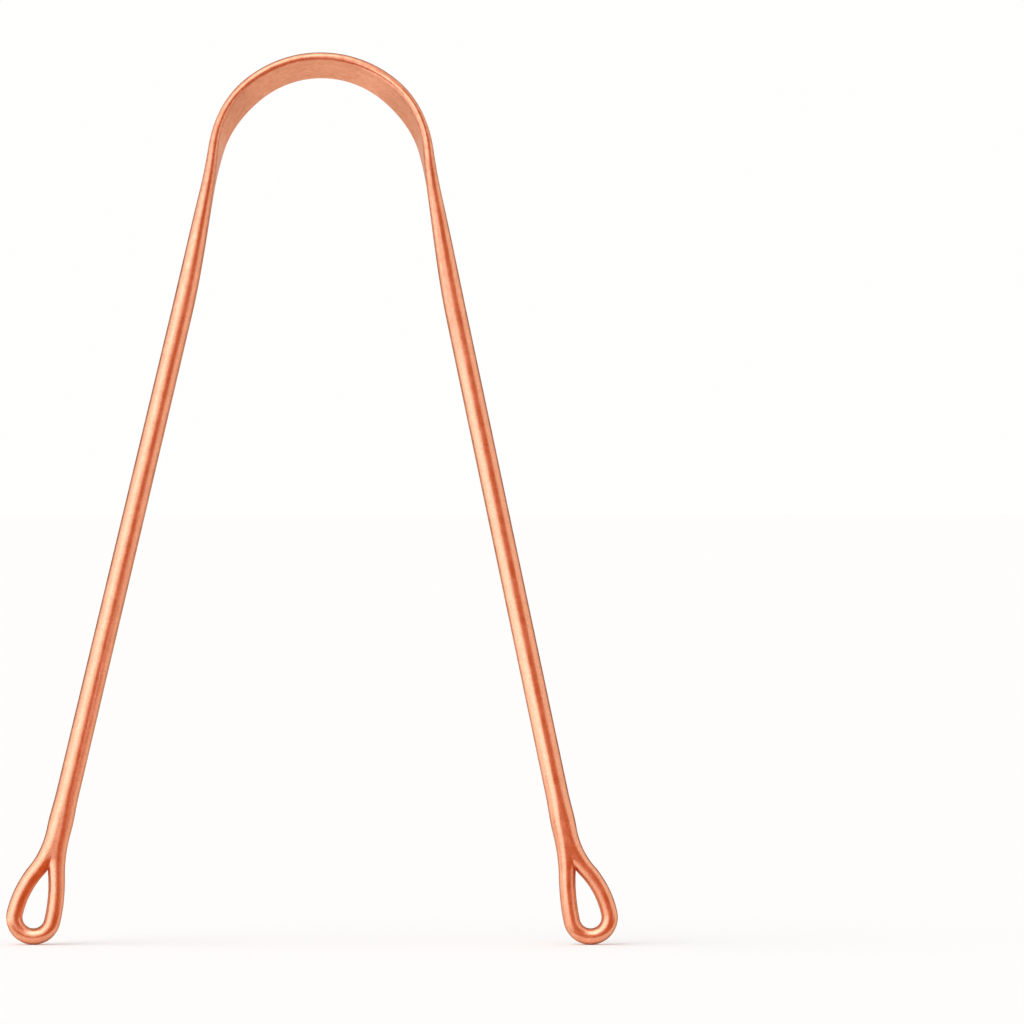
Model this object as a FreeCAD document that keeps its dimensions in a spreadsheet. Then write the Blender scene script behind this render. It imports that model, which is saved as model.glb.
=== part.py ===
import FreeCAD, Part
import math
import os
import Sketcher

from FreeCAD import Placement, Rotation, Vector

# Tongue scraper bent from one copper wire. It stands upright on its two eyes.
# X runs across it, Y through the width of the strip, Z up. Y is negative in front.
# The origin is on the floor, midway between the outer sides of the two eyes.

# Driving dimensions, in millimetres and degrees.
DIMENSIONS = [
    ("bow_radius", 17.4, "middle line of the flat strip"),
    ("bow_height", 125.06, "centre of the bow above the floor"),
    ("left_lean", 13.35, "left arm, from upright"),
    ("right_lean", 11.87, "right arm, from upright"),
    ("strip_width", 7.6, "flat strip, front edge to back edge"),
    ("strip_thickness", 1.4, "flat strip"),
    ("strip_tilt", 24.0, "how far the strip leans its inner face to the front"),
    ("rod_diameter", 3.45, "arm where the strip has become round"),
    ("rod_end_diameter", 3.7, "arm at its foot"),
    ("neck_length", 27.5, "stretch below the curve where the strip becomes the rod"),
    ("neck_offset", 0.68, "strip at the end of the curve, outward from the line of the arm"),
    ("last_flat", 0.1, "flat that is left where the neck meets the rod"),
    ("narrowing_angle", 49.0, "where the strip begins to narrow and thicken, from the top of the bow"),
    ("untwist_length", 7.5, "stretch of the neck in which the last of the tilt goes"),
    ("eye_wire", 2.65, "wire of the eye"),
    ("eye_radius", 3.1, "middle line of the round end of the eye"),
    ("eye_length", 14.8, "from the fork to the centre of the round end"),
    ("left_eye_offset", 0.75, "round end of the left eye, outward from the line of the arm"),
    ("right_eye_offset", 1.2, "the same at the right"),
    ("leg_offset", 0.3, "each leg of the eye, from the line of the arm at the fork"),
    ("braze_web", 1.07, "filler past the crotch of the eye, where its legs come apart"),
    ("braze_end_diameter", 2.4, "filler at its lower end"),
    ("flex_angle", 40.0, "where each half of the bow bends, from its top"),
    ("flex_radius", 2.2, "round seam at the bend"),
    ("flex_clearance", 0.08, "gap in the seam"),
    ("seam_trim", 2.0, "stock beyond the seam that is cut away"),
]

# Sections that the shoulder is drawn through.
SHOULDER_STATIONS = 14


def make_sheet(doc):
    """Spreadsheet with one named cell for each driving dimension."""
    sheet = doc.addObject("Spreadsheet::Sheet", "Sizes")
    for row, (alias, value, note) in enumerate(DIMENSIONS, start=1):
        sheet.set(f"A{row}", alias)
        sheet.set(f"B{row}", str(value))
        sheet.set(f"C{row}", note)
        sheet.setAlias(f"B{row}", alias)
    doc.recompute()
    return sheet


doc = FreeCAD.newDocument("TongueScraper")
sizes = make_sheet(doc)


def smooth_step(value, start, end):
    """0 up to start, 1 from end on, and an even ease between them."""
    share = min(max((value - start) / (end - start), 0.0), 1.0)
    return share * share * (3.0 - 2.0 * share)


def origin_part(body, role):
    """Plane or axis of the body's own origin."""
    return next(part for part in body.Origin.OriginFeatures if part.Role == role)


def new_body(label, placement):
    body = doc.addObject("PartDesign::Body", label)
    body.Label = label
    body.Placement = placement
    return body


def new_sketch(body, name, plane, offset=Placement()):
    sketch = body.newObject("Sketcher::SketchObject", name)
    sketch.AttachmentSupport = (origin_part(body, plane), [""])
    sketch.MapMode = "FlatFace"
    sketch.AttachmentOffset = offset
    return sketch


def dimension(sketch, kind, *places, name, size, value):
    """Add a named constraint and bind it to an expression of the sheet's cells."""
    sketch.addConstraint(Sketcher.Constraint(kind, *places, value))
    sketch.renameConstraint(sketch.ConstraintCount - 1, name)
    sketch.setExpression(f"Constraints.{name}", size)


def arc(centre, radius, start, end):
    circle = Part.Circle(centre, Vector(0, 0, 1), radius)
    return Part.ArcOfCircle(circle, math.radians(start), math.radians(end))


def draw_oval(sketch, width, thickness, width_size, thickness_size):
    """Flat bar section with round edges, its width along the sketch's X."""
    half = (width - thickness) / 2
    edge = thickness / 2
    left = sketch.addGeometry(arc(Vector(-half, 0, 0), edge, 90, 270))
    lower = sketch.addGeometry(Part.LineSegment(Vector(-half, -edge, 0), Vector(half, -edge, 0)))
    right = sketch.addGeometry(arc(Vector(half, 0, 0), edge, -90, 90))
    upper = sketch.addGeometry(Part.LineSegment(Vector(half, edge, 0), Vector(-half, edge, 0)))
    loop = [left, lower, right, upper]
    for piece, following in zip(loop, loop[1:] + loop[:1]):
        sketch.addConstraint(Sketcher.Constraint("Tangent", piece, 2, following, 1))
    sketch.addConstraint(Sketcher.Constraint("Symmetric", left, 3, right, 3, -1, 1))
    sketch.addConstraint(Sketcher.Constraint("Horizontal", lower))
    sketch.addConstraint(Sketcher.Constraint("Equal", left, right))
    dimension(sketch, "DistanceX", left, 3, right, 3, name="flat", value=2 * half,
              size=f"{width_size} - ({thickness_size})")
    dimension(sketch, "Radius", left, name="edge", value=edge, size=f"({thickness_size}) / 2")


def draw_circle(sketch, x, radius, x_size, radius_size):
    circle = sketch.addGeometry(Part.Circle(Vector(x, 0, 0), Vector(0, 0, 1), radius))
    sketch.addConstraint(Sketcher.Constraint("PointOnObject", circle, 3, -1))
    dimension(sketch, "DistanceX", -1, 1, circle, 3, name="across", value=x, size=x_size)
    dimension(sketch, "Radius", circle, name="radius", value=radius, size=radius_size)


class Side:
    """Where one half of the wire runs: sign is -1 at the left and 1 at the right."""

    def __init__(self, name, sign):
        self.name = name
        self.sign = sign
        self.lean_size = f"Sizes.{name}_lean"
        self.lean = getattr(sizes, f"{name}_lean")
        self.eye_offset_size = f"Sizes.{name}_eye_offset"
        self.eye_offset = getattr(sizes, f"{name}_eye_offset")
        self.line_radius = sizes.bow_radius - sizes.neck_offset
        self.slope = math.radians(self.lean)
        self.arc_end = 90.0 - self.lean

    def fork_height(self):
        """Height of the fork above the floor, with the eye standing on it."""
        round_end = sizes.eye_radius + sizes.eye_wire / 2
        return (round_end + sizes.eye_length * math.cos(self.slope)
                - self.eye_offset * math.sin(self.slope))

    def rod_length(self):
        """From the end of the bow's curve to the fork, on the line of the arm."""
        curve_end = sizes.bow_height + self.line_radius * math.sin(self.slope)
        return (curve_end - self.fork_height()) / math.cos(self.slope)

    def arm_length_size(self):
        """The same length less the neck, as an expression of the sheet's cells."""
        lean = self.lean_size
        fork = (f"Sizes.eye_radius + Sizes.eye_wire / 2 + Sizes.eye_length * cos({lean})"
                f" - {self.eye_offset_size} * sin({lean})")
        curve_end = f"Sizes.bow_height + (Sizes.bow_radius - Sizes.neck_offset) * sin({lean})"
        return f"({curve_end} - ({fork})) / cos({lean}) - Sizes.neck_length"

    def reach(self):
        """How far the outer side of the eye lies from the middle of the bow."""
        outward = self.line_radius + self.eye_offset
        along = self.rod_length() + sizes.eye_length
        return (outward * math.cos(self.slope) + along * math.sin(self.slope)
                + sizes.eye_radius + sizes.eye_wire / 2)

    def frame_at(self, along):
        """Frame on the arm's line, below the curve's end, with local Z back up the arm."""
        outward = self.line_radius * math.cos(self.slope) + along * math.sin(self.slope)
        drop = along * math.cos(self.slope) - self.line_radius * math.sin(self.slope)
        place = bow_centre + Vector(self.sign * outward, 0, -drop)
        return Placement(place, Rotation(Vector(0, 1, 0), -self.sign * self.lean))


left = Side("left", -1)
right = Side("right", 1)
bow_centre = Vector((left.reach() - right.reach()) / 2, 0, sizes.bow_height)


def station(angle, radius, along, tilt, sign):
    """Frame of a section of the strip: X through its width, Y outward, at an angle from the top."""
    turn = Rotation(Vector(1, 0, 0), sign * angle)
    outward = turn.multVec(Vector(0, 1, 0))
    onward = turn.multVec(Vector(0, 0, sign))
    place = outward * radius + onward * along
    return Placement(place, turn * Rotation(Vector(0, 0, 1), -tilt))


def flex_point(sign):
    """Point of the strip's middle line where one half of the bow bends, from the bow's centre."""
    turn = math.radians(sizes.flex_angle)
    return Vector(sign * math.sin(turn), math.cos(turn), 0) * sizes.bow_radius


def bind_flex_point(sketch, circle, sign):
    """Hold the centre of a circle or arc at the bend."""
    point = flex_point(sign)
    dimension(sketch, "DistanceX", -1, 1, circle, 3, name=f"bend_x{circle}", value=point.x,
              size=f"{sign} * Sizes.bow_radius * sin(Sizes.flex_angle)")
    dimension(sketch, "DistanceY", -1, 1, circle, 3, name=f"bend_y{circle}", value=point.y,
              size="Sizes.bow_radius * cos(Sizes.flex_angle)")


def cut_through(body, sketch, name):
    """Cut a sketch through the whole width of the strip, and check that it removed something."""
    doc.recompute()
    before = body.Shape.Volume
    pocket = body.newObject("PartDesign::Pocket", name)
    pocket.Profile = sketch
    pocket.SideType = "Symmetric"
    pocket.setExpression("Length", "2 * Sizes.strip_width")
    doc.recompute()
    if body.Shape.Volume >= before:
        raise RuntimeError(f"{name} cuts nothing from {body.Label}")


def make_scraping_bow():
    """Middle of the flat strip, with a round seam at each end."""
    body = new_body("scraping_bow", Placement(bow_centre, Rotation()))
    section = new_sketch(body, "bow_section", "YZ_Plane",
                         station(0, sizes.bow_radius, 0, sizes.strip_tilt, 1))
    section.setExpression("AttachmentOffset.Base.y", "Sizes.bow_radius")
    draw_oval(section, sizes.strip_width, sizes.strip_thickness,
              "Sizes.strip_width", "Sizes.strip_thickness")
    strip = body.newObject("PartDesign::Revolution", "bow_strip")
    strip.Profile = section
    strip.ReferenceAxis = (origin_part(body, "Y_Axis"), [""])
    strip.Midplane = True
    strip.setExpression("Angle", "2 * (Sizes.flex_angle * 1 deg + "
                        "atan((Sizes.flex_radius + Sizes.seam_trim / 2) / Sizes.bow_radius))")
    ends = new_sketch(body, "bow_ends", "XZ_Plane")
    for sign in (-1, 1):
        draw_seam_trim(ends, sign)
    cut_through(body, ends, "bow_seams")
    return body


def draw_seam_trim(sketch, sign):
    """Half ring beyond the bend: the stock outside it goes and a round end stays."""
    centre = flex_point(sign)
    outward = 90.0 - sign * sizes.flex_angle
    inner_radius = sizes.flex_radius
    outer_radius = sizes.flex_radius + sizes.seam_trim
    first = min(outward, outward - sign * 180.0)
    inner = sketch.addGeometry(arc(centre, inner_radius, first, first + 180.0))
    outer = sketch.addGeometry(arc(centre, outer_radius, first, first + 180.0))
    for end in (1, 2):
        near = sketch.getPoint(inner, end)
        far = sketch.getPoint(outer, end)
        side = sketch.addGeometry(Part.LineSegment(near, far))
        sketch.addConstraint(Sketcher.Constraint("Coincident", side, 1, inner, end))
        sketch.addConstraint(Sketcher.Constraint("Coincident", side, 2, outer, end))
        sketch.addConstraint(Sketcher.Constraint("PointOnObject", inner, 3, side))
        sketch.addConstraint(Sketcher.Constraint("PointOnObject", -1, 1, side))
    sketch.addConstraint(Sketcher.Constraint("Coincident", inner, 3, outer, 3))
    bind_flex_point(sketch, inner, sign)
    dimension(sketch, "Radius", inner, name=f"seam{inner}", value=inner_radius,
              size="Sizes.flex_radius")
    dimension(sketch, "Radius", outer, name=f"trim{outer}", value=outer_radius,
              size="Sizes.flex_radius + Sizes.seam_trim")


def shoulder_stations(side):
    """Evenly spaced sections: angle from the top, distance down the neck, shares of each change."""
    curve = math.radians(side.arc_end - sizes.flex_angle) * sizes.bow_radius
    narrowing = math.radians(side.arc_end - sizes.narrowing_angle) * sizes.bow_radius
    for step in range(SHOULDER_STATIONS):
        travel = step / (SHOULDER_STATIONS - 1) * (curve + sizes.neck_length) - curve
        angle = side.arc_end + math.degrees(min(travel, 0.0) / sizes.bow_radius)
        shaped = smooth_step(travel, -narrowing, sizes.neck_length)
        inset = smooth_step(travel, 0.0, sizes.neck_length)
        level = smooth_step(travel, -curve, sizes.untwist_length)
        yield angle, max(travel, 0.0), shaped, inset, level


def make_shoulder(side):
    """End of the strip: it turns down, loses its tilt, and narrows and thickens to the rod.
    On the way it comes in from the curve to the line of the arm."""
    body = new_body(f"{side.name}_shoulder", Placement(bow_centre, Rotation()))
    rod_width = sizes.rod_diameter + sizes.last_flat
    sections = []
    for angle, along, shaped, inset, level in shoulder_stations(side):
        radius = sizes.bow_radius - inset * sizes.neck_offset
        tilt = sizes.strip_tilt * (1.0 - level)
        sketch = new_sketch(body, f"{side.name}_station{len(sections)}", "YZ_Plane",
                            station(angle, radius, along, tilt, side.sign))
        width = sizes.strip_width + shaped * (rod_width - sizes.strip_width)
        thickness = sizes.strip_thickness + shaped * (sizes.rod_diameter - sizes.strip_thickness)
        draw_oval(sketch, width, thickness,
                  f"Sizes.strip_width + {shaped} * (Sizes.rod_diameter + Sizes.last_flat"
                  " - Sizes.strip_width)",
                  f"Sizes.strip_thickness + {shaped} * (Sizes.rod_diameter - Sizes.strip_thickness)")
        sections.append(sketch)
    doc.recompute()
    loft = body.newObject("PartDesign::AdditiveLoft", f"{side.name}_taper")
    loft.Profile = sections[0]
    loft.Sections = sections[1:]
    seat = new_sketch(body, f"{side.name}_seat", "XZ_Plane")
    point = flex_point(side.sign)
    radius = sizes.flex_radius + sizes.flex_clearance
    circle = seat.addGeometry(Part.Circle(point, Vector(0, 0, 1), radius))
    bind_flex_point(seat, circle, side.sign)
    dimension(seat, "Radius", circle, name="seat", value=radius,
              size="Sizes.flex_radius + Sizes.flex_clearance")
    cut_through(body, seat, f"{side.name}_seam")
    return body


def make_arm(side):
    """Straight rod from the neck to the fork, a little thicker at its foot."""
    body = new_body(f"{side.name}_arm", side.frame_at(side.rod_length()))
    length = side.rod_length() - sizes.neck_length
    foot = sizes.rod_end_diameter / 2
    top = sizes.rod_diameter / 2
    profile = new_sketch(body, f"{side.name}_arm_profile", "XZ_Plane")
    corners = [Vector(0, 0, 0), Vector(foot, 0, 0), Vector(top, length, 0), Vector(0, length, 0)]
    for corner, following in zip(corners, corners[1:] + corners[:1]):
        profile.addGeometry(Part.LineSegment(corner, following))
    for edge in range(len(corners)):
        following = (edge + 1) % len(corners)
        profile.addConstraint(Sketcher.Constraint("Coincident", edge, 2, following, 1))
    profile.addConstraint(Sketcher.Constraint("Coincident", 0, 1, -1, 1))
    profile.addConstraint(Sketcher.Constraint("Horizontal", 0))
    profile.addConstraint(Sketcher.Constraint("Horizontal", 2))
    profile.addConstraint(Sketcher.Constraint("Vertical", 3))
    dimension(profile, "DistanceX", 0, 1, 0, 2, name="foot", value=foot,
              size="Sizes.rod_end_diameter / 2")
    dimension(profile, "DistanceX", 2, 2, 2, 1, name="top", value=top,
              size="Sizes.rod_diameter / 2")
    dimension(profile, "DistanceY", 3, 2, 3, 1, name="length", value=length,
              size=side.arm_length_size())
    rod = body.newObject("PartDesign::Revolution", f"{side.name}_rod")
    rod.Profile = profile
    rod.ReferenceAxis = (origin_part(body, "Z_Axis"), [""])
    rod.Angle = 360.0
    return body


def draw_leg(sketch, start, end, outward):
    """Half of the eye's middle line: two equal arcs down from the fork, then a quarter turn."""
    spread = outward * (end - start)
    turn = 2 * math.degrees(math.atan2(spread, sizes.eye_length))
    bend = sizes.eye_length / (2 * math.sin(math.radians(turn)))
    middle = end - outward * sizes.eye_radius
    first_centre = Vector(start + outward * bend, 0, 0)
    second_centre = Vector(end - outward * bend, -sizes.eye_length, 0)
    round_centre = Vector(middle, -sizes.eye_length, 0)
    if outward > 0:
        arcs = [arc(first_centre, bend, 180, 180 + turn),
                arc(second_centre, bend, 0, turn),
                arc(round_centre, sizes.eye_radius, -90, 0)]
        joins = [(0, 2, 1, 2), (1, 1, 2, 2)]
        ends = (1, 1)
    else:
        arcs = [arc(first_centre, bend, -turn, 0),
                arc(second_centre, bend, 180 - turn, 180),
                arc(round_centre, sizes.eye_radius, 180, 270)]
        joins = [(0, 1, 1, 1), (1, 2, 2, 1)]
        ends = (2, 2)
    fork_end, low_end = ends
    for piece in arcs:
        sketch.addGeometry(piece)
    for join in joins:
        sketch.addConstraint(Sketcher.Constraint("Tangent", *join))
    sketch.addConstraint(Sketcher.Constraint("Equal", 0, 1))
    sketch.addConstraint(Sketcher.Constraint("PointOnObject", 0, 3, -1))
    sketch.addConstraint(Sketcher.Constraint("PointOnObject", 0, fork_end, -1))
    sketch.addConstraint(Sketcher.Constraint("Horizontal", 1, 3, 2, 3))
    sketch.addConstraint(Sketcher.Constraint("Vertical", 2, 3, 2, low_end))
    return fork_end, middle


def make_eye(side):
    """Teardrop loop: two legs leave the fork side by side and meet at the bottom of the eye."""
    body = new_body(f"{side.name}_eye", side.frame_at(side.rod_length()))
    for leg, outward in (("outer", side.sign), ("inner", -side.sign)):
        start = outward * sizes.leg_offset
        end = side.sign * side.eye_offset + outward * sizes.eye_radius
        path = new_sketch(body, f"{side.name}_{leg}_path", "XZ_Plane")
        fork_end, middle = draw_leg(path, start, end, outward)
        dimension(path, "DistanceX", -1, 1, 0, fork_end, name="start", value=start,
                  size=f"{outward} * Sizes.leg_offset")
        dimension(path, "DistanceX", -1, 1, 2, 3, name="middle", value=middle,
                  size=f"{side.sign} * {side.eye_offset_size}")
        dimension(path, "DistanceY", 2, 3, -1, 1, name="length", value=sizes.eye_length,
                  size="Sizes.eye_length")
        dimension(path, "Radius", 2, name="radius", value=sizes.eye_radius,
                  size="Sizes.eye_radius")
        wire = new_sketch(body, f"{side.name}_{leg}_wire", "XY_Plane")
        draw_circle(wire, start, sizes.eye_wire / 2, f"{outward} * Sizes.leg_offset",
                    "Sizes.eye_wire / 2")
        doc.recompute()
        pipe = body.newObject("PartDesign::AdditivePipe", f"{side.name}_{leg}_leg")
        pipe.Profile = wire
        pipe.Spine = path
        doc.recompute()
    return body


def make_eye_braze(side, eye):
    """Filler round the legs below the arm's foot: a taper that ends in the crotch of the eye."""
    parting = "(Sizes.eye_wire - 2 * Sizes.leg_offset) / (4 * (Sizes.eye_radius - Sizes.leg_offset))"
    taper = doc.addObject("Part::Cone", f"{side.name}_braze_taper")
    taper.setExpression("Radius1", "Sizes.braze_end_diameter / 2")
    taper.setExpression("Radius2", "Sizes.rod_end_diameter / 2")
    taper.setExpression("Height", f"Sizes.eye_length * sqrt({parting}) + Sizes.braze_web")
    doc.recompute()
    fork = side.frame_at(side.rod_length())
    taper.Placement = fork * Placement(Vector(0, 0, -taper.Height.Value), Rotation())
    braze = doc.addObject("Part::Cut", f"{side.name}_eye_braze")
    braze.Label = f"{side.name}_eye_braze"
    braze.Base = taper
    braze.Tool = eye
    return braze


def make_half(side):
    eye = make_eye(side)
    return [make_shoulder(side), make_arm(side), eye, make_eye_braze(side, eye)]


def check_and_write(parts):
    """Stop on any failed object or bad shape, then write one file for each part."""
    doc.recompute()
    for item in doc.Objects:
        if "Invalid" in item.State or "Error" in item.State:
            raise RuntimeError(f"{item.Label} failed: {item.State}")
    for part in parts:
        shape = part.Shape
        if shape.isNull() or not shape.isValid() or len(shape.Solids) != 1:
            raise RuntimeError(f"{part.Label} is not one sound solid")
    os.makedirs("parts", exist_ok=True)
    for part in parts:
        part.Shape.exportStep(f"parts/{part.Label}.step")
        print(f"{part.Label}: {part.Shape.Volume:.1f} mm3")


check_and_write([make_scraping_bow(), *make_half(left), *make_half(right)])
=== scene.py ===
import math

import bmesh
import bpy
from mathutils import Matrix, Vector


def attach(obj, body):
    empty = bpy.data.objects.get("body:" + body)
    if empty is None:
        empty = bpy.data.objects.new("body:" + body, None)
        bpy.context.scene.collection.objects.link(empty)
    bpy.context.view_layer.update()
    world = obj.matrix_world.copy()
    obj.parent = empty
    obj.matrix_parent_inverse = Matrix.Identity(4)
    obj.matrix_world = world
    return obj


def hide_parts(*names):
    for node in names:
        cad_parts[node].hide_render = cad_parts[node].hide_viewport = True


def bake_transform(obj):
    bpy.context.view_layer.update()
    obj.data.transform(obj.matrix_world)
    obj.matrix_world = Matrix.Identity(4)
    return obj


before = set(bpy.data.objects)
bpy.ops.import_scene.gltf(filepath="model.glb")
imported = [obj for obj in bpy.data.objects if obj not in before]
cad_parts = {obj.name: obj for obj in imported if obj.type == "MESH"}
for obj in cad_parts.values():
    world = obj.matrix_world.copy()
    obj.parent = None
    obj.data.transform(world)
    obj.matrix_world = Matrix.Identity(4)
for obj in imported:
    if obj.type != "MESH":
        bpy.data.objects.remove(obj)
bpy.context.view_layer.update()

# Looks of the copper tongue scraper. Lengths are in metres, in the frame of the CAD part.
MM = 0.001

# Sizes of the wire.
BOW_CENTRE = Vector((1.458, 0, 125.06)) * MM
BOW_RADIUS = 17.4 * MM
LEANS = {"left": 13.35, "right": 11.87}
FLEX_ANGLE = 40.0
STRIP_WIDTH = 7.6 * MM
STRIP_THICKNESS = 1.4 * MM
STRIP_TILT = 24.0
ROD_RADIUS = 1.725 * MM
ROD_END_RADIUS = 1.85 * MM
NECK_LENGTH = 27.5 * MM
NECK_OFFSET = 0.68 * MM
NARROWING_ANGLE = 49.0
UNTWIST_LENGTH = 7.5 * MM

# Sizes of the eye. Depths are measured down the line of the arm from the fork.
EYE_WIRE_RADIUS = 1.325 * MM
EYE_RADIUS = 3.1 * MM
EYE_LENGTH = 14.8 * MM
EYE_OFFSETS = {"left": 0.75 * MM, "right": 1.2 * MM}
LEG_OFFSET = 0.3 * MM
EYE_TOP = -6.0 * MM
THINNING = (EYE_TOP, 10.0 * MM)
FILLER_END = 4.2 * MM
STRAIGHTENING = 4.0 * MM

# Fineness of the meshes.
AROUND = 96
STRIP_STEP = 0.25 * MM
ROD_STEP = 2.5 * MM
FORK_STEP = 0.5 * MM
LEG_STEPS = 22
CROTCH_STEPS = 18
HALVINGS = 40
SAME_PLACE = 0.001 * MM

# Where the bow's bend begins and ends, in degrees from its top.
BEND_START = 12.0
BEND_END = 66.0

# The camera stands level in front of the part, at the middle of the photo.
VIEW_WIDTH = 165.9 * MM
CAMERA_PLACE = Vector((32.4, -1500.0, 70.1)) * MM
SENSOR_WIDTH = 36.0

FRONT = Vector((0, -1, 0))

# Colours of the copper: its two tones, and its tint seen nearly edge on.
COPPER_DARK = (0.60, 0.20, 0.10)
COPPER_LIGHT = (1.0, 0.48, 0.29)
BOW_EDGE = (0.95, 0.82, 0.72)
WIRE_EDGE = (0.30, 0.17, 0.12)

# Surface of the copper. Scales are per metre, and a stretch below 1 draws the grain out along an axis.
GRAIN_SCALE = 3200
CLOUD_SCALE = 500
STRIP_STRETCH = (0.35, 1.0, 0.35)
ROD_STRETCH = (1.0, 1.0, 1.0)
GRAIN_TONE = 0.4
CLOUD_TONES = (0.4, 0.6)
# Painted shade: the copper of the bow is made darker by this much.
BOW_SHADE = -0.35
ROUGHNESS = (0.28, 0.36)
BUMP_STRENGTH = 0.8
BUMP_DEPTH = 0.012 * MM

# Heights between which the look of the wire turns into that of the bow, with its painted shade.
BOW_LOOK_START = BOW_CENTRE.z - 10.0 * MM
BOW_LOOK_END = BOW_CENTRE.z + 5.0 * MM

# White floor, white surroundings and the light that casts the shadow.
FLOOR_SIZE = 400.0
FLOOR_COLOR = (0.975, 0.97, 0.965)
SKY_COLOR = (1.0, 0.995, 0.99)
SKY_ON_FLOOR = 0.7
KEY_ENERGY = 1.43
KEY_ANGLE = 70.0
KEY_DIRECTION = Vector((0.62, 0.35, -0.7))

# Colours of the cards that the copper reflects.
CARD_ORANGE = (0.58, 0.15, 0.025)
CARD_BROWN = (0.15, 0.05, 0.02)
CARD_TAN = (0.80, 0.55, 0.40)
CARD_WHITE = (0.85, 0.95, 1.08)


def smooth_step(value, start, end):
    """0 up to start, 1 from end on, and an even ease between them."""
    share = min(max((value - start) / (end - start), 0.0), 1.0)
    return share * share * (3.0 - 2.0 * share)


def mix(low, high, share):
    return low + (high - low) * share


def spaced(start, end, step):
    """Even steps from start to end, both included."""
    count = max(1, round(abs(end - start) / step))
    return [mix(start, end, index / count) for index in range(count + 1)]


class Side:
    """Where one half of the wire runs: sign is -1 at the left and 1 at the right."""

    def __init__(self, name, sign):
        self.name = name
        self.sign = sign
        self.lean = math.radians(LEANS[name])
        self.eye_offset = EYE_OFFSETS[name]
        self.arc_end = math.radians(90.0) - self.lean
        self.down = self.onward(self.arc_end)
        self.out = self.outward(self.arc_end)
        self.line_start = BOW_CENTRE + self.out * (BOW_RADIUS - NECK_OFFSET)
        self.rod_length = self.find_rod_length()
        self.fork = self.on_line(self.rod_length)
        self.outer_leg = Leg(1, self.eye_offset)
        self.inner_leg = Leg(-1, self.eye_offset)

    def outward(self, angle):
        """Away from the bow's centre, at an angle from the top."""
        return Vector((self.sign * math.sin(angle), 0, math.cos(angle)))

    def onward(self, angle):
        """Along the wire, away from the top of the bow."""
        return Vector((self.sign * math.cos(angle), 0, -math.sin(angle)))

    def on_bow(self, angle):
        return BOW_CENTRE + self.outward(angle) * BOW_RADIUS

    def on_line(self, travel):
        """On the line of the arm, at a distance below the end of the bow's curve."""
        return self.line_start + self.down * travel

    def find_rod_length(self):
        """From the end of the bow's curve to the fork, with the eye standing on the floor."""
        fork_height = (EYE_RADIUS + EYE_WIRE_RADIUS + EYE_LENGTH * math.cos(self.lean)
                       - self.eye_offset * math.sin(self.lean))
        return (self.line_start.z - fork_height) / math.cos(self.lean)

    def in_eye(self, depth, across):
        """Point of the arm's plane: depth below the fork, across outward from the arm's line."""
        return self.fork + self.down * depth + self.out * across


def add_piece(name, rows, material, closed):
    """Mesh through rows of points. Closed rows are rings, with a flat cap on the first and the last."""
    mesh = bpy.data.meshes.new(name)
    shape = bmesh.new()
    grid = [[shape.verts.new(point) for point in row] for row in rows]
    for row, following in zip(grid, grid[1:]):
        last = len(row) if closed else len(row) - 1
        for index in range(last):
            beside = (index + 1) % len(row)
            shape.faces.new((row[index], row[beside], following[beside], following[index])).smooth = True
    if closed:
        for ring in (grid[0], grid[-1]):
            cap = shape.faces.new(ring)
            for edge in cap.edges:
                edge.smooth = False
    bmesh.ops.recalc_face_normals(shape, faces=shape.faces)
    shape.to_mesh(mesh)
    shape.free()
    piece = bpy.data.objects.new(name, mesh)
    bpy.context.scene.collection.objects.link(piece)
    mesh.materials.append(material)
    return piece


def flat_bar_ring(centre, width, thickness, front, out):
    """Ring of a flat bar with round edges, evenly spaced from its front edge round the outside."""
    edge = thickness / 2
    half_flat = width / 2 - edge
    quarter = edge * math.pi / 2
    lengths = [quarter, 2 * half_flat, 2 * quarter, 2 * half_flat, quarter]
    ring = []
    for index in range(AROUND):
        travel = sum(lengths) * index / AROUND
        stretch = 0
        while travel > lengths[stretch]:
            travel -= lengths[stretch]
            stretch += 1
        if stretch in (1, 3):
            side = 1 if stretch == 1 else -1
            ring.append(centre + front * side * (half_flat - travel) + out * side * edge)
            continue
        start = {0: 0.0, 2: math.pi / 2, 4: 1.5 * math.pi}[stretch]
        turn = start + travel / edge
        shift = -half_flat if stretch == 2 else half_flat
        ring.append(centre + front * (shift + edge * math.cos(turn)) + out * edge * math.sin(turn))
    return ring


def strip_ring(side, travel):
    """Ring of the strip at a distance from the end of the bow's curve, negative on the curve."""
    angle = side.arc_end + min(travel, 0.0) / BOW_RADIUS
    narrowing = (side.arc_end - math.radians(NARROWING_ANGLE)) * BOW_RADIUS
    untwisting = (side.arc_end - math.radians(FLEX_ANGLE)) * BOW_RADIUS
    shaped = smooth_step(travel, -narrowing, NECK_LENGTH)
    inset = NECK_OFFSET * smooth_step(travel, 0.0, NECK_LENGTH)
    level = smooth_step(travel, -untwisting, UNTWIST_LENGTH)
    tilt = math.radians(STRIP_TILT) * (1.0 - level)
    out = side.outward(angle)
    centre = side.on_bow(angle) - out * inset + side.onward(angle) * max(travel, 0.0)
    return flat_bar_ring(centre,
                         mix(STRIP_WIDTH, 2 * ROD_RADIUS, shaped),
                         mix(STRIP_THICKNESS, 2 * ROD_RADIUS, shaped),
                         FRONT * math.cos(tilt) + out * math.sin(tilt),
                         out * math.cos(tilt) - FRONT * math.sin(tilt))


def make_strip(side, material):
    """Half of the flat bow and the shoulder below it."""
    curve = side.arc_end * BOW_RADIUS
    rows = [strip_ring(side, travel) for travel in spaced(-curve, NECK_LENGTH, STRIP_STEP)]
    piece = add_piece(f"{side.name}_strip", rows, material, closed=True)
    side.on_bow(math.radians(BEND_START))
    side.on_bow(math.radians(BEND_END))
    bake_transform(piece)
    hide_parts("scraping_bow", f"{side.name}_shoulder")


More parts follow.
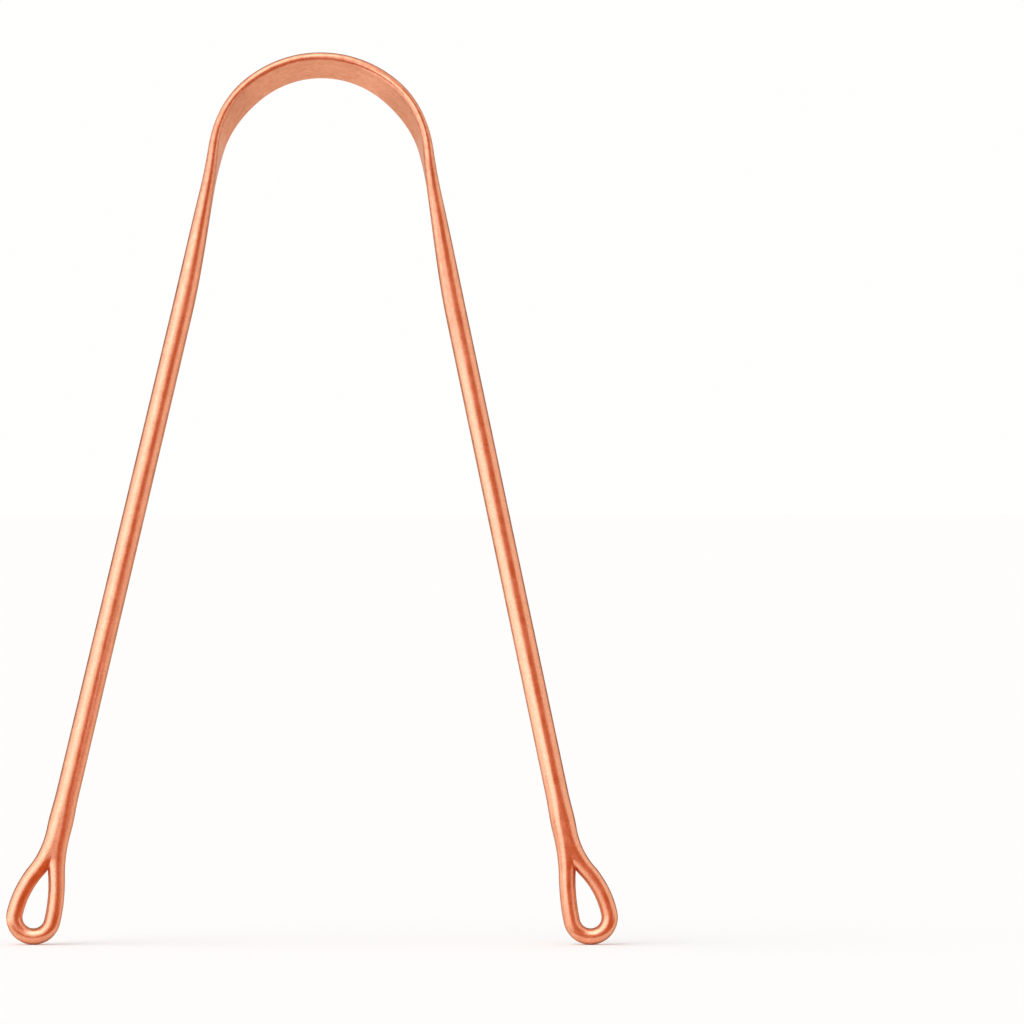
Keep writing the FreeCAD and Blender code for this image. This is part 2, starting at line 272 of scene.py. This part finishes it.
def make_rod(side, material):
    """Straight round arm from the neck to just above the fork."""
    end = side.rod_length + EYE_TOP
    rows = []
    for travel in spaced(NECK_LENGTH, end, ROD_STEP):
        share = (travel - NECK_LENGTH) / (end - NECK_LENGTH)
        width = 2 * mix(ROD_RADIUS, ROD_END_RADIUS, share)
        rows.append(flat_bar_ring(side.on_line(travel), width, width, FRONT, side.out))
    piece = add_piece(f"{side.name}_rod", rows, material, closed=True)
    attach(piece, f"{side.name}_side")
    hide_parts(f"{side.name}_arm")


class Leg:
    """One leg of the eye: way is 1 for the outer leg and -1 for the inner one."""

    def __init__(self, way, eye_offset):
        self.way = way
        self.end = EYE_RADIUS + way * eye_offset
        self.spread = self.end - LEG_OFFSET
        self.turn = 2 * math.atan2(self.spread, EYE_LENGTH)
        self.bend = EYE_LENGTH / (2 * math.sin(self.turn))

    def upper(self, depth):
        """(offset from the arm's line, slope) on the first arc, and above it."""
        start = LEG_OFFSET * smooth_step(depth, EYE_TOP, 0.0)
        slope = math.asin(max(depth, 0.0) / self.bend)
        return start + self.bend * (1 - math.cos(slope)), slope

    def lower(self, slope):
        """(depth, offset) on the second arc, which takes the slope back to 0."""
        depth = EYE_LENGTH - self.bend * math.sin(slope)
        return depth, self.end - self.bend * (1 - math.cos(slope))

    def round_end(self, turn):
        """(depth, offset) on the round end, a quarter of a circle for each leg."""
        depth = EYE_LENGTH + EYE_RADIUS * math.sin(turn)
        return depth, self.end - EYE_RADIUS * (1 - math.cos(turn))


def leg_radius(depth):
    return mix(ROD_END_RADIUS, EYE_WIRE_RADIUS, smooth_step(depth, *THINNING))


def parting(side, depth):
    """Cosine of the angle at which the legs' sections meet: 0 where they are one, 1 at the crotch."""
    radius = leg_radius(depth)
    reach = 0.0
    apart = 0.0
    for leg in (side.outer_leg, side.inner_leg):
        offset, slope = leg.upper(depth)
        apart += offset
        reach += radius / math.cos(slope)
    return apart / reach


def depth_of(side, share):
    """Depth at which the parting has that value, by halving."""
    low, high = 0.0, EYE_LENGTH / 2
    for _ in range(HALVINGS):
        middle = (low + high) / 2
        if parting(side, middle) < share:
            low = middle
        else:
            high = middle
    return low


def leg_row(side, leg, depth, offset, slope, plane, meeting, fill):
    """Points round a leg, from where it meets the other one in front, round the far side, to the back.
    plane is the slope of the row's plane, meeting the angle left out at the other leg, and
    fill how flat the filler makes the fork."""
    radius = leg_radius(depth)
    reach = radius / math.cos(slope - plane)
    centre = side.in_eye(depth, leg.way * offset)
    away = side.out * leg.way * math.cos(plane) - side.down * math.sin(plane)
    row = []
    for index in range(AROUND // 2 + 1):
        turn = mix(meeting, 2 * math.pi - meeting, index / (AROUND // 2))
        height = math.sin(turn)
        if math.cos(turn) > 0:
            height = mix(height, math.copysign(1.0, height), fill)
        row.append(centre - away * reach * math.cos(turn) + FRONT * radius * height)
    return row


def leg_rows(side, leg):
    """Rows down one leg: the fork, the crotch, the straightening leg and a quarter of the round end."""
    crotch = depth_of(side, 1.0)
    fork_end = crotch / 2
    first_meeting = math.acos(parting(side, fork_end))
    rows = []

    def add_fork_row(depth, meeting):
        offset, slope = leg.upper(depth)
        fill = 1.0 - smooth_step(depth, FILLER_END, crotch)
        rows.append(leg_row(side, leg, depth, offset, slope, 0.0, meeting, fill))

    def add_leg_row(depth, offset, slope):
        plane = slope * smooth_step(depth, crotch, crotch + STRAIGHTENING)
        rows.append(leg_row(side, leg, depth, offset, slope, plane, 0.0, 0.0))

    for depth in spaced(EYE_TOP, fork_end, FORK_STEP):
        add_fork_row(depth, math.acos(parting(side, depth)))
    for step in range(1, CROTCH_STEPS + 1):
        meeting = first_meeting * (1 - step / CROTCH_STEPS)
        add_fork_row(depth_of(side, math.cos(meeting)), meeting)
    for depth in spaced(crotch, EYE_LENGTH / 2, FORK_STEP)[1:]:
        add_leg_row(depth, *leg.upper(depth))
    for step in range(1, LEG_STEPS + 1):
        slope = leg.turn * (1 - step / LEG_STEPS)
        add_leg_row(*leg.lower(slope), slope)
    for step in range(1, LEG_STEPS + 1):
        turn = math.pi / 2 * step / LEG_STEPS
        add_leg_row(*leg.round_end(turn), -turn)
    return rows


def make_eye(side, material):
    """Teardrop eye: the arm parts into two legs that meet again at the bottom of the eye."""
    name = f"{side.name}_eye_loop"
    piece = add_piece(name, leg_rows(side, side.outer_leg), material, closed=False)
    other = add_piece(f"{name}_inner", leg_rows(side, side.inner_leg), material, closed=False)
    shape = bmesh.new()
    shape.from_mesh(piece.data)
    shape.from_mesh(other.data)
    bpy.data.objects.remove(other)
    bmesh.ops.remove_doubles(shape, verts=shape.verts, dist=SAME_PLACE)
    rim = [edge for edge in shape.edges if edge.is_boundary]
    bmesh.ops.contextual_create(shape, geom=rim)
    for edge in rim:
        edge.smooth = False
    bmesh.ops.recalc_face_normals(shape, faces=shape.faces)
    shape.to_mesh(piece.data)
    shape.free()
    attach(piece, f"{side.name}_side")
    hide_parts(f"{side.name}_eye", f"{side.name}_eye_braze")


def new_material(name):
    """Material with an empty tree, a shader, an output and the object's own coordinates."""
    material = bpy.data.materials.new(name)
    material.use_nodes = True
    tree = material.node_tree
    tree.nodes.clear()
    output = tree.nodes.new("ShaderNodeOutputMaterial")
    shader = tree.nodes.new("ShaderNodeBsdfPrincipled")
    tree.links.new(shader.outputs["BSDF"], output.inputs["Surface"])
    place = tree.nodes.new("ShaderNodeTexCoord")
    return material, tree, shader, place.outputs["Object"]


def noise(tree, place, scale, detail, stretch=(1, 1, 1)):
    """Noise of a scale per metre, stretched along the axes with a stretch below 1."""
    mapping = tree.nodes.new("ShaderNodeMapping")
    mapping.inputs["Scale"].default_value = [scale * share for share in stretch]
    texture = tree.nodes.new("ShaderNodeTexNoise")
    texture.inputs["Scale"].default_value = 1.0
    texture.inputs["Detail"].default_value = detail
    tree.links.new(place, mapping.inputs["Vector"])
    tree.links.new(mapping.outputs["Vector"], texture.inputs["Vector"])
    return texture.outputs["Fac"]


def spread(tree, value, low, high):
    """Map the middle of a noise to a range."""
    span = tree.nodes.new("ShaderNodeMapRange")
    span.inputs["From Min"].default_value = 0.3
    span.inputs["From Max"].default_value = 0.7
    span.inputs["To Min"].default_value = low
    span.inputs["To Max"].default_value = high
    tree.links.new(value, span.inputs["Value"])
    return span.outputs["Result"]


def blend_colors(tree, share, low, high):
    blended = tree.nodes.new("ShaderNodeMix")
    blended.data_type = "RGBA"
    blended.inputs["A"].default_value = (*low, 1)
    blended.inputs["B"].default_value = (*high, 1)
    tree.links.new(share, blended.inputs["Factor"])
    return blended.outputs["Result"]


def bow_share(tree, place):
    """0 on the wire, and 1 on the bow above it, where the copper gets painted shade."""
    axes = tree.nodes.new("ShaderNodeSeparateXYZ")
    height = tree.nodes.new("ShaderNodeMapRange")
    height.inputs["From Min"].default_value = BOW_LOOK_START
    height.inputs["From Max"].default_value = BOW_LOOK_END
    tree.links.new(place, axes.inputs["Vector"])
    tree.links.new(axes.outputs["Z"], height.inputs["Value"])
    return height.outputs["Result"]


def add_scaled(tree, value, scale, rest):
    """value * scale + rest"""
    result = tree.nodes.new("ShaderNodeMath")
    result.operation = "MULTIPLY_ADD"
    result.inputs[1].default_value = scale
    tree.links.new(value, result.inputs[0])
    tree.links.new(rest, result.inputs[2])
    return result.outputs["Value"]


def make_copper(name, stretch):
    """Satin copper: fine grain in the surface and in its tone, and painted shade that makes the bow a
    little darker.
    Seen nearly edge on, the wire is dark and the bow is light."""
    material, tree, shader, place = new_material(name)
    grain = noise(tree, place, GRAIN_SCALE, 2, stretch)
    cloud = noise(tree, place, CLOUD_SCALE, 3, stretch)
    bow_shade_mask = bow_share(tree, place)
    tone = add_scaled(tree, spread(tree, grain, 0.0, 1.0), GRAIN_TONE, spread(tree, cloud, *CLOUD_TONES))
    # Painted shade: the bow's tone is pulled darker.
    tone = add_scaled(tree, bow_shade_mask, BOW_SHADE, tone)
    tree.links.new(blend_colors(tree, tone, COPPER_DARK, COPPER_LIGHT), shader.inputs["Base Color"])
    tree.links.new(blend_colors(tree, bow_shade_mask, WIRE_EDGE, BOW_EDGE), shader.inputs["Specular Tint"])
    tree.links.new(spread(tree, cloud, *ROUGHNESS), shader.inputs["Roughness"])
    bump = tree.nodes.new("ShaderNodeBump")
    bump.inputs["Strength"].default_value = BUMP_STRENGTH
    bump.inputs["Distance"].default_value = BUMP_DEPTH
    tree.links.new(grain, bump.inputs["Height"])
    tree.links.new(bump.outputs["Normal"], shader.inputs["Normal"])
    shader.inputs["Metallic"].default_value = 1.0
    return material


def make_floor():
    """White floor that takes the part's shadow."""
    material, _, shader, _ = new_material("white_floor")
    shader.inputs["Base Color"].default_value = (*FLOOR_COLOR, 1)
    shader.inputs["Roughness"].default_value = 1.0
    shader.inputs["Specular IOR Level"].default_value = 0.0
    bpy.ops.mesh.primitive_plane_add(size=FLOOR_SIZE)
    floor = bpy.context.object
    floor.name = "floor"
    floor.data.materials.append(material)


def make_card(name, place, facing, size, color, strength=1.0):
    """Studio card that shows from its front only, and only as a reflection."""
    material = bpy.data.materials.new(name)
    material.use_nodes = True
    tree = material.node_tree
    tree.nodes.clear()
    output = tree.nodes.new("ShaderNodeOutputMaterial")
    glow = tree.nodes.new("ShaderNodeEmission")
    glow.inputs["Color"].default_value = (*color, 1)
    glow.inputs["Strength"].default_value = strength
    nothing = tree.nodes.new("ShaderNodeBsdfTransparent")
    behind = tree.nodes.new("ShaderNodeNewGeometry")
    one_sided = tree.nodes.new("ShaderNodeMixShader")
    tree.links.new(behind.outputs["Backfacing"], one_sided.inputs["Fac"])
    tree.links.new(glow.outputs["Emission"], one_sided.inputs[1])
    tree.links.new(nothing.outputs["BSDF"], one_sided.inputs[2])
    tree.links.new(one_sided.outputs["Shader"], output.inputs["Surface"])
    bpy.ops.mesh.primitive_plane_add(size=1.0, location=place)
    card = bpy.context.object
    card.name = name
    card.rotation_euler = Vector(facing).to_track_quat("Z", "Y").to_euler()
    card.scale = (*size, 1)
    card.data.materials.append(material)
    card.visible_camera = False
    card.visible_diffuse = False
    card.visible_shadow = False


def make_key_light():
    """Soft light from the upper left, which casts the shadow."""
    light = bpy.data.lights.new("key_light", "SUN")
    light.energy = KEY_ENERGY
    light.angle = math.radians(KEY_ANGLE)
    key = bpy.data.objects.new("key_light", light)
    key.rotation_euler = KEY_DIRECTION.to_track_quat("-Z", "Y").to_euler()
    key.visible_glossy = False
    bpy.context.scene.collection.objects.link(key)


def make_world():
    """White all round, and a little less for the light that falls on the floor."""
    world = bpy.data.worlds.new("white_studio")
    world.use_nodes = True
    tree = world.node_tree
    background = tree.nodes["Background"]
    background.inputs["Color"].default_value = (*SKY_COLOR, 1)
    path = tree.nodes.new("ShaderNodeLightPath")
    level = tree.nodes.new("ShaderNodeMapRange")
    level.inputs["To Min"].default_value = 1.0
    level.inputs["To Max"].default_value = SKY_ON_FLOOR
    tree.links.new(path.outputs["Is Diffuse Ray"], level.inputs["Value"])
    tree.links.new(level.outputs["Result"], background.inputs["Strength"])
    bpy.context.scene.world = world


def make_camera():
    camera = bpy.data.cameras.new("camera")
    camera.sensor_width = SENSOR_WIDTH
    camera.lens = SENSOR_WIDTH * -CAMERA_PLACE.y / VIEW_WIDTH
    stand = bpy.data.objects.new("camera", camera)
    stand.location = CAMERA_PLACE
    stand.rotation_euler = (math.radians(90), 0, 0)
    bpy.context.scene.collection.objects.link(stand)
    bpy.context.scene.camera = stand


strip_copper = make_copper("strip_copper", STRIP_STRETCH)
rod_copper = make_copper("rod_copper", ROD_STRETCH)
for side in (Side("left", -1), Side("right", 1)):
    make_strip(side, strip_copper)
    make_rod(side, rod_copper)
    make_eye(side, rod_copper)

make_floor()

# Orange cards make the dark bands down the middle of the wire and under the edge of the bow.
make_card("front_card", (0.18, -0.26, 0.075), (0, 1, 0), (0.36, 0.15), CARD_ORANGE)
make_card("right_card", (0.225, -0.26, 0.275), (0, 1, 0), (0.27, 0.25), CARD_ORANGE)
make_card("low_card", (0.0525, -0.415, 0.0005), (0, 0, 1), (0.215, 0.77), CARD_ORANGE)
make_card("bow_card", (-0.028, -0.065, 0.09), (0, 0, 1), (0.034, 0.09), CARD_ORANGE)
make_card("left_eye_card", (-0.0275, -0.0165, 0.0005), (0, 0, 1), (0.055, 0.027), CARD_ORANGE)
make_card("right_eye_card", (0.065, -0.0165, 0.0005), (0, 0, 1), (0.05, 0.027), CARD_ORANGE)

# Cards behind the part make its thin dark edges.
make_card("back_card", (0.0, 0.26, 0.05), (0, -1, 0), (0.24, 0.1), CARD_TAN)
make_card("left_back_card", (-0.13, 0.1, 0.085), (0, -1, 0), (0.06, 0.17), CARD_BROWN)
make_card("right_back_card", (0.13, 0.1, 0.085), (0, -1, 0), (0.06, 0.17), CARD_BROWN)
make_card("top_back_card", (0.0, 0.26, 0.37), (0, -1, 0), (0.5, 0.3), CARD_BROWN)

# White cards make the bright lines: left of the middle of the wire, round the bow and in the eyes.
make_card("side_card", (-0.68, -0.66, 0.35), (0.72, 0.69, 0), (0.72, 1.1), CARD_WHITE, 2.05)
make_card("far_side_card", (-0.9, -0.08, 0.35), (0.9, 0.08, 0), (0.65, 1.1), CARD_WHITE, 1.5)
make_card("low_side_card", (-0.36, -0.425, 0.0005), (0, 0, 1), (0.6, 1.05), CARD_WHITE, 1.95)
make_card("top_card", (-0.15, -0.6, 0.75), (0.15, 0.6, -0.62), (0.8, 0.9), CARD_WHITE, 2.8)
make_card("glint_card", (0.0127, -0.022, 0.1342), (0, 1, 0), (0.014, 0.013), CARD_WHITE, 2.8)
make_card("small_card", (0.006, -0.046, 0.02), (0.66, 0.75, 0), (0.05, 0.039), CARD_WHITE, 2.1)

make_key_light()
make_world()
make_camera()
bpy.context.scene.view_settings.view_transform = "Standard"
